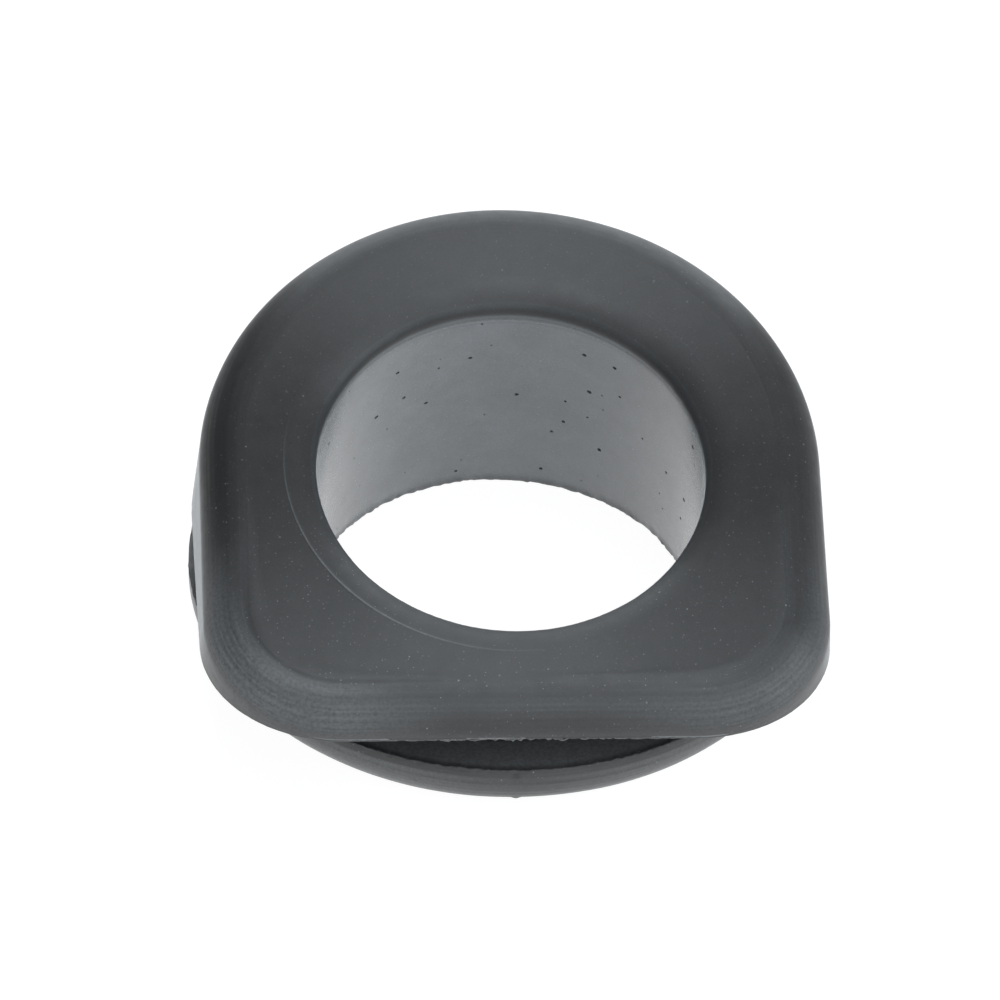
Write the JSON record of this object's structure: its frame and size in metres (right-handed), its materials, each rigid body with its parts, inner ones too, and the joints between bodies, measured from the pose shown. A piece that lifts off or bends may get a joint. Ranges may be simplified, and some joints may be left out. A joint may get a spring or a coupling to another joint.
{
  "type": "rubber grommet",
  "caption": "Angled rubber grommet with a round foot, a panel groove and a wedge-shaped D head, with a leaning bore that carries a tube through a panel.",
  "frame": {"origin": "centre of the foot's flat underside, where the bore's axis passes through it", "axes": "+Z out of the panel, from the foot to the head and square to the groove; -Y towards the flat thin front of the head, which is the way the bore leans; +X to the right seen from the front"},
  "size_m": [0.0328, 0.0345, 0.017],
  "materials": {
    "rubber": "matte moulded black rubber, a little dusty, with a dry light bloom in the bore"
  },
  "bodies": {
    "root": {"grommet": "rubber"}
  },
  "joints": []
}
